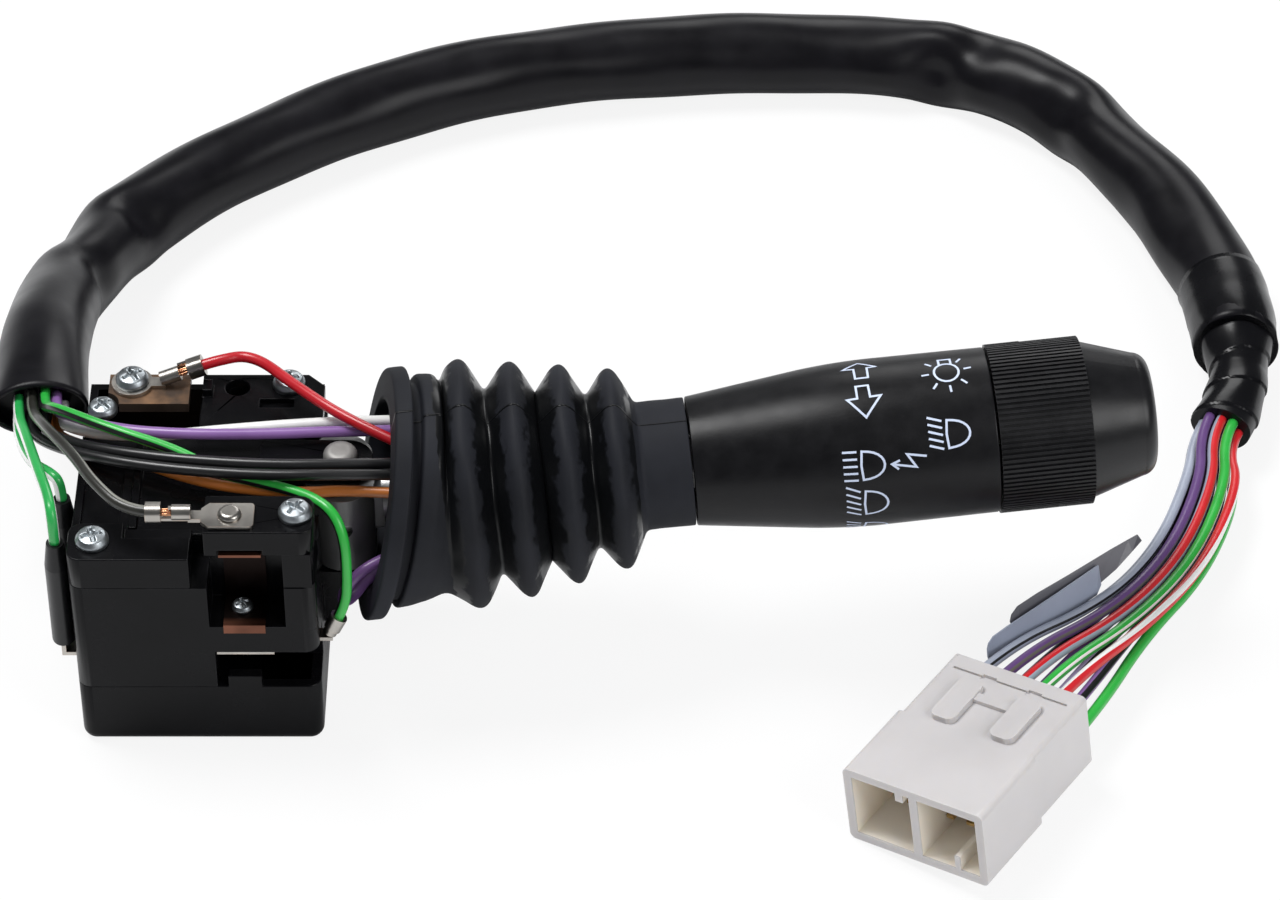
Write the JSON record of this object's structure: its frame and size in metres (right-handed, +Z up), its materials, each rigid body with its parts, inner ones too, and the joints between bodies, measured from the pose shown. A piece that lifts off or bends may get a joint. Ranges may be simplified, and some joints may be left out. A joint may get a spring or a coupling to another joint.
{
  "type": "combination stalk switch",
  "caption": "Combination stalk switch: moulded switch block, pleated rubber boot, round handle with a knurled turning end, wiring in a sleeve and a connector.",
  "frame": {"origin": "middle of the switch block's flat underside", "axes": "+X runs along the handle from the block to the turning end, +Y to the back of the block, +Z up out of the block's top"},
  "size_m": [0.254, 0.2505, 0.0619],
  "materials": {
    "base_tray": "moulded, satin",
    "switch_case": "moulded, satin",
    "left_cover": "moulded, satin",
    "terminal_block": "moulded, satin",
    "middle_cover": "moulded, satin",
    "rear_plate": "moulded, satin",
    "terminal_board": "brown laminate",
    "contact_board": "brown laminate",
    "pivot_bridge": "moulded, satin",
    "pivot_rivet": "dull, upset head",
    "lower_pivot_pin": "turned",
    "cover_screws": "zinc plated",
    "small_screws": "zinc plated",
    "pocket_contact": "copper, tarnished",
    "fixed_contacts": "copper",
    "turn_slide": "natural nylon",
    "turn_blade": "spring brass",
    "dip_slide": "natural nylon",
    "slide_guides": "moulded",
    "dip_blade": "spring brass",
    "detent_cam": "acetal",
    "swivel_carrier": "grey die-casting",
    "cross_pin": "turned",
    "lever_root": "die-casting",
    "detent_plunger": "polished nose",
    "detent_spring": "spring wire",
    "lever_tube": "drawn tube",
    "boot": "matt, dusty",
    "handle": "satin black",
    "rotary_wafer": "brown laminate",
    "wafer_contacts": "copper",
    "rotary_wiper": "spring brass",
    "knob_shaft": "natural nylon",
    "knob_ring": "knurled, satin",
    "end_cap": "satin",
    "rivet_terminal": "tinned copper, worn",
    "ring_terminal": "tinned",
    "output_tab": "copper",
    "shrink_sleeves": "soft plastic sleeve",
    "side_tabs": "tinned",
    "wire_purple": "soft plastic",
    "wire_white": "soft plastic",
    "wire_red": "soft plastic",
    "wires_black": "soft plastic",
    "wire_green": "soft plastic",
    "wire_orange": "soft plastic",
    "wire_grey": "soft plastic",
    "wires_green_white": "soft plastic",
    "harness_sleeve": "soft plastic tube",
    "tape_wrap": "wound tape",
    "plug_wires_grey": "soft plastic",
    "plug_wire_black": "soft plastic",
    "plug_wires_purple": "soft plastic",
    "plug_wires_red": "soft plastic",
    "plug_wires_green": "soft plastic",
    "connector_housing": "off-white nylon",
    "connector_pins": "tinned brass",
    "marker_flag": "thin film, blank"
  },
  "bodies": {
    "root": {"base_tray": "base_tray", "switch_case": "switch_case", "left_cover": "left_cover", "terminal_block": "terminal_block", "middle_cover": "middle_cover", "rear_plate": "rear_plate", "terminal_board": "terminal_board", "contact_board": "contact_board", "pivot_bridge": "pivot_bridge", "pivot_rivet": "pivot_rivet", "lower_pivot_pin": "lower_pivot_pin", "cover_screws": "cover_screws", "small_screws": "small_screws", "pocket_contact": "pocket_contact", "fixed_contacts": "fixed_contacts", "slide_guides": "slide_guides", "detent_cam": "detent_cam", "boot": "boot", "rivet_terminal": "rivet_terminal", "ring_terminal": "ring_terminal", "output_tab": "output_tab", "shrink_sleeves": "shrink_sleeves", "side_tabs": "side_tabs", "wire_purple": "wire_purple", "wire_white": "wire_white", "wire_red": "wire_red", "wires_black": "wires_black", "wire_green": "wire_green", "wire_orange": "wire_orange", "wire_grey": "wire_grey", "wires_green_white": "wires_green_white", "harness_sleeve": "harness_sleeve", "tape_wrap": "tape_wrap", "plug_wires_grey": "plug_wires_grey", "plug_wire_black": "plug_wire_black", "plug_wires_purple": "plug_wires_purple", "plug_wires_red": "plug_wires_red", "plug_wires_green": "plug_wires_green", "connector_housing": "connector_housing", "connector_pins": "connector_pins", "marker_flag": "marker_flag"},
    "carrier": {"swivel_carrier": "swivel_carrier", "cross_pin": "cross_pin"},
    "lever": {"lever_root": "lever_root", "detent_plunger": "detent_plunger", "detent_spring": "detent_spring", "lever_tube": "lever_tube", "handle": "handle", "rotary_wafer": "rotary_wafer", "wafer_contacts": "wafer_contacts"},
    "knob": {"knob_shaft": "knob_shaft", "rotary_wiper": "rotary_wiper", "knob_ring": "knob_ring", "end_cap": "end_cap"},
    "turn_slider": {"turn_slide": "turn_slide", "turn_blade": "turn_blade"},
    "dip_slider": {"dip_slide": "dip_slide", "dip_blade": "dip_blade"}
  },
  "joints": [
    {"name": "indicator_swing", "type": "hinge", "parent": "root", "child": "carrier", "pos_m": [0.027, 0.001, 0.0373], "axis": [0, 0, 1], "range_deg": [-10, 10], "deforming": ["boot"]},
    {"name": "beam_dip", "type": "hinge", "parent": "carrier", "child": "lever", "pos_m": [0.027, 0.001, 0.0373], "axis": [0.0872, -0.9962, 0], "range_deg": [-6, 6], "deforming": ["boot"]},
    {"name": "light_knob", "type": "hinge", "parent": "lever", "child": "knob", "pos_m": [0.027, 0.001, 0.0373], "axis": [0.9942, 0.087, 0.0628], "range_deg": [0, 90]},
    {"name": "turn_slide_y", "type": "slide", "parent": "root", "child": "turn_slider", "axis": [0, 1, 0], "range_m": [-0.0032, 0.0032]},
    {"name": "dip_slide_z", "type": "slide", "parent": "root", "child": "dip_slider", "axis": [0, 0, 1], "range_m": [-0.0012, 0.0012]}
  ],
  "couplings": [
    {"joint": "turn_slide_y", "follows": "indicator_swing", "m_per_rad": -0.018},
    {"joint": "dip_slide_z", "follows": "beam_dip", "m_per_rad": -0.011}
  ]
}
